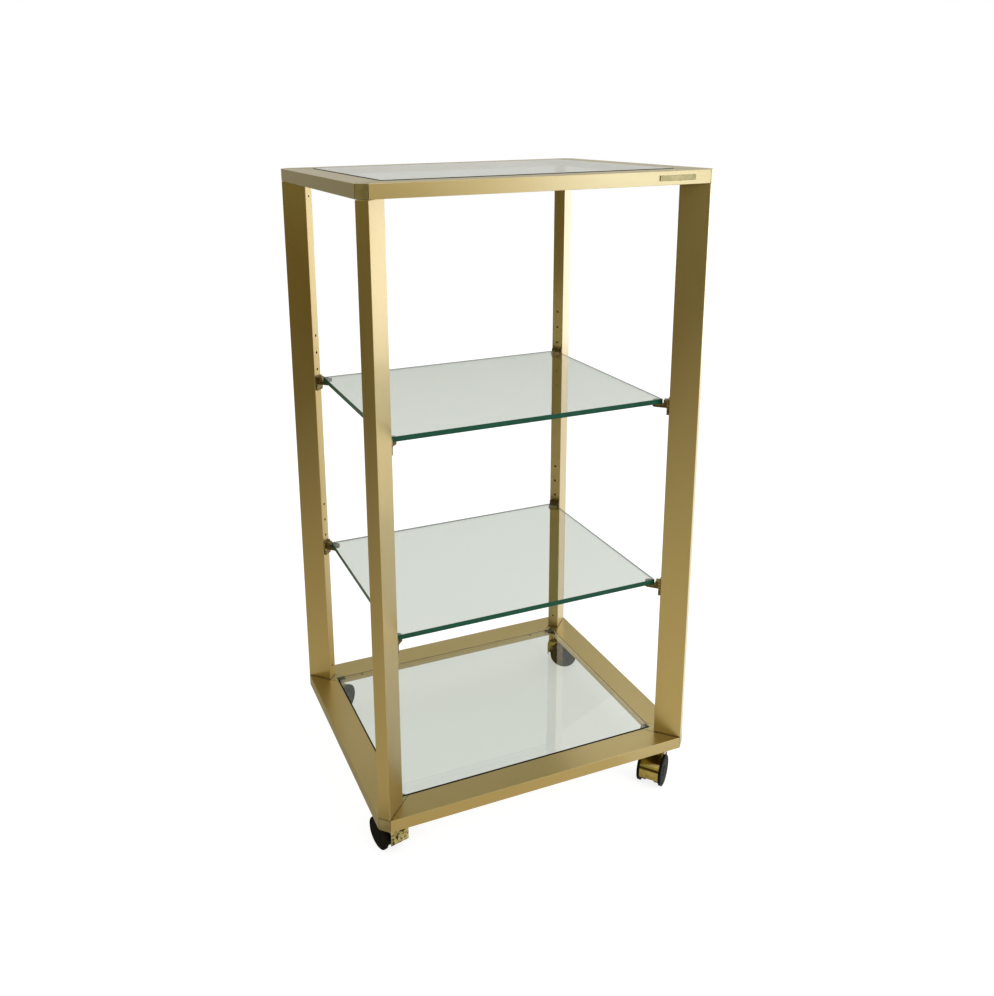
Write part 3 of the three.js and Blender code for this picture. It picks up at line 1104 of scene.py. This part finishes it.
# %% [markdown]
# The masters that were copied to every corner aren't part of the stand, so they go.

# %% Clear the bench
drop(long_rail, short_rail, top_connector, bottom_connector, post)
drop(screw, bracket, pad, wheel, hood)

# %% [markdown]
# ## Camera
#
# The camera stands to the left of the front at chest height and looks down a little. Its
# place, its turn and its lens come from fitting a perspective to the corners of both
# frames in the photograph, 994 by 996 pixels.

# %% Set the camera
photo_width, photo_height = 994, 996
focal_px = 960.1
centre_px = Vector((440.8, 369.7))
azimuth, pitch, roll = (math.radians(a) for a in (21.448, 14.893, -0.931))
eye = middle + Vector((-0.628, -1.400, 1.120))

camera_data = bpy.data.cameras.new("camera")
camera = bpy.data.objects.new("camera", camera_data)
bpy.context.scene.collection.objects.link(camera)
bpy.context.scene.camera = camera
camera_data.sensor_width = 36
camera_data.lens = focal_px * camera_data.sensor_width / photo_height
camera_data.shift_x = (photo_width / 2 - centre_px.x) / photo_height
camera_data.shift_y = (centre_px.y - photo_height / 2) / photo_height
forward = Vector(
    (math.sin(azimuth) * math.cos(pitch), math.cos(azimuth) * math.cos(pitch), -math.sin(pitch))
)
sideways = Vector((math.cos(azimuth), -math.sin(azimuth), 0))
facing = Matrix((sideways, sideways.cross(forward), -forward)).transposed()
camera_turn = (facing @ Matrix.Rotation(roll, 3, "Z")).to_4x4()
camera.matrix_world = Matrix.Translation(eye) @ camera_turn
print("lens", round(camera_data.lens, 2), "mm")

# %% [markdown]
# ## Studio
#
# The background is pure white. With a white world alone the stand would float, so there is
# a floor. Its own glow is most of its white, and the light on it is the rest, so the floor
# is white in the picture and the soft shadow under the stand still shows.

# %% Floor
floor_size = 14
floor_glow = 0.8
paper_white = (1, 1, 1, 1)


def plain(name, build):
    """A material for the studio, whose surface is made by a function."""
    finish = Finish(name)
    finish.give(finish.nodes["Material Output"].inputs["Surface"], build(finish))
    return finish.material


def floor_surface(finish):
    """A pale matt floor that glows."""
    light = {"Color": paper_white, "Strength": floor_glow}
    glow = finish.add("ShaderNodeEmission", None, light)
    pale = finish.mix(finish.noise(scale=2.0), shade("a0a09e"), shade("a6a6a4"))
    matt = finish.add("ShaderNodeBsdfDiffuse", None, {"Color": pale})
    return finish.add("ShaderNodeAddShader", None, {0: glow, 1: matt})


bpy.ops.object.select_all(action="DESELECT")
bpy.ops.mesh.primitive_plane_add(size=floor_size, location=(middle.x, middle.y, 0))
floor = bpy.context.object
floor.name = "floor"
floor.data.materials.append(plain("floor_white", floor_surface))
print("floor", floor_size, "m wide")

# %% [markdown]
# The world lights the stand softly from all sides. The camera, the reflections and the
# view through the glass meet it at full white instead, so that metal and glass show the
# same background as the picture, and no light has to be added for it.

# %% World
fill_strength = 0.75
white_strength = 1.0
world = bpy.data.worlds.new("studio")
bpy.context.scene.world = world
world.use_nodes = True
nodes, links = world.node_tree.nodes, world.node_tree.links
fill = nodes["Background"]
fill.inputs["Color"].default_value = paper_white
fill.inputs["Strength"].default_value = fill_strength
white = nodes.new("ShaderNodeBackground")
white.inputs["Color"].default_value = paper_white
white.inputs["Strength"].default_value = white_strength
path = nodes.new("ShaderNodeLightPath")
seen = path.outputs["Is Camera Ray"]
for ray in ("Is Glossy Ray", "Is Transmission Ray"):
    either = nodes.new("ShaderNodeMath")
    either.operation = "MAXIMUM"
    links.new(seen, either.inputs[0])
    links.new(path.outputs[ray], either.inputs[1])
    seen = either.outputs[0]
choice = nodes.new("ShaderNodeMixShader")
links.new(seen, choice.inputs[0])
links.new(fill.outputs[0], choice.inputs[1])
links.new(white.outputs[0], choice.inputs[2])
links.new(choice.outputs[0], nodes["World Output"].inputs["Surface"])
print("world fill", fill_strength)

# %% [markdown]
# Soft boxes are rectangular lamps turned to the middle of the stand. A key box hangs high
# in front and a weak one high behind. The largest, a little cold, makes the tubes' right
# faces pale, and a small blue one stands in front on the right. Point lamps would be
# simpler, but metal mirrors a lamp's shape, and small hard dots look wrong on it.

# %% Lamps
aim_height = 0.5
aim = middle + Vector((0, 0, aim_height))
cold = (0.83, 0.85, 0.98)
blue = (0.52, 0.63, 1.0)


def soft_box(name, place, width, height, power, colour=(1, 1, 1)):
    """A rectangular lamp that faces the stand and that the camera doesn't see."""
    place = Vector(place)
    data = bpy.data.lights.new(name, "AREA")
    data.shape = "RECTANGLE"
    data.size, data.size_y = width, height
    data.energy = power
    data.color = colour
    lamp = bpy.data.objects.new(name, data)
    bpy.context.scene.collection.objects.link(lamp)
    turn = (place - aim).to_track_quat("Z", "Y").to_matrix().to_4x4()
    lamp.matrix_world = Matrix.Translation(place) @ turn
    lamp.visible_camera = False
    lamp.visible_transmission = False


soft_box("key_box", (0.9, -2.6, 2.6), width=2.0, height=1.6, power=26)
soft_box("right_box", (2.7, 0.3, 0.95), width=3.1, height=2.4, power=36, colour=cold)
soft_box("front_box", (1.85, -2.9, 0.95), width=0.85, height=0.9, power=14, colour=blue)
soft_box("back_box", (0.9, 2.7, 2.5), width=2.4, height=1.0, power=3.2)
print(len(bpy.data.lights), "lamps")

# %% [markdown]
# Gilt metal shows little but what it mirrors, so its tones come from cards that only
# reflections can see. Low on the left they are dark brown, with straw above, in front clay
# brown, and behind grey, turning white towards the top. The rest lie on the floor. One
# picture of a studio could be wrapped round the stand instead, but each card can be moved
# and toned by itself. A card has a centre, a side across, a side up, and the tones of its
# foot and its head.

# %% Cards
coal = (0.04, 0.02, 0.0)
umber = (0.21, 0.17, 0.055)
loam = (0.06, 0.04, 0.01)
straw = (0.70, 0.68, 0.42)
shadow = (0.36, 0.33, 0.22)
clay = (0.45, 0.33, 0.13)
sand = (1.0, 0.93, 0.74)
dusk = (0.34, 0.33, 0.26)
mist = (0.66, 0.66, 0.62)
slate = (0.34, 0.35, 0.30)
cloud = (1.05, 1.03, 0.95)
bright = (1.3, 1.27, 1.15)
left_wall = -2.8
front_wall = -3.3
back_wall = 2.6
on_floor = 0.004


def card(name, centre, across, up, low_tone, high_tone):
    """A plain card that only reflections can see, shaded from its foot to its head."""
    bpy.ops.object.select_all(action="DESELECT")
    bpy.ops.mesh.primitive_plane_add(size=1)
    piece = bpy.context.object
    piece.name = name
    across, up = Vector(across), Vector(up)
    turn = Matrix((across, up, across.cross(up).normalized())).transposed().to_4x4()
    piece.data.transform(Matrix.Translation(centre) @ turn)

    def surface(finish):
        rise = finish.add("ShaderNodeTexCoord", output="UV")
        share = finish.add("ShaderNodeSeparateXYZ", None, {"Vector": rise}, output="Y")
        tone = finish.mix(share, low_tone, high_tone)
        return finish.add("ShaderNodeEmission", None, {"Color": tone, "Strength": 1.0})

    piece.data.materials.append(plain(name, surface))
    piece.visible_camera = False
    piece.visible_diffuse = False
    piece.visible_transmission = False
    piece.visible_shadow = False


card("left_card", (left_wall, 0.4, 0.6), (0, 4.0, 0), (0, 0, 1.2), umber, umber)
card("left_front_card", (left_wall, -2.8, 0.6), (0, 2.4, 0), (0, 0, 1.2), loam, loam)
card("left_high_card", (left_wall, -0.8, 1.8), (0, 6.4, 0), (0, 0, 1.2), straw, straw)
card("left_shadow_card", (-0.33, 0.05, 0.006), (0, -0.7, 0), (0.12, 0, 0), shadow, shadow)
card("left_floor_card", (-1.3, -0.8, on_floor), (0, -6.4, 0), (3.0, 0, 0), coal, sand)
card("right_floor_card", (1.7, 0.6, on_floor), (0, -3.6, 0), (2.6, 0, 0), bright, bright)
card("front_card", (0.1, front_wall, 0.8), (-1.9, 0, 0), (0, 0, 1.6), clay, clay)
card("back_left_card", (-1.6, back_wall, 0.625), (2.6, 0, 0), (0, 0, 1.25), dusk, dusk)
card("back_card", (1.6, back_wall, 0.625), (3.8, 0, 0), (0, 0, 1.25), mist, mist)
card("back_high_card", (0.4, back_wall, 2.08), (6.2, 0, 0), (0, 0, 1.64), slate, cloud)

# %% [markdown]
# ## Picture
#
# The Standard view shows each colour as it was written.

# %% Picture settings
bpy.context.scene.view_settings.view_transform = "Standard"
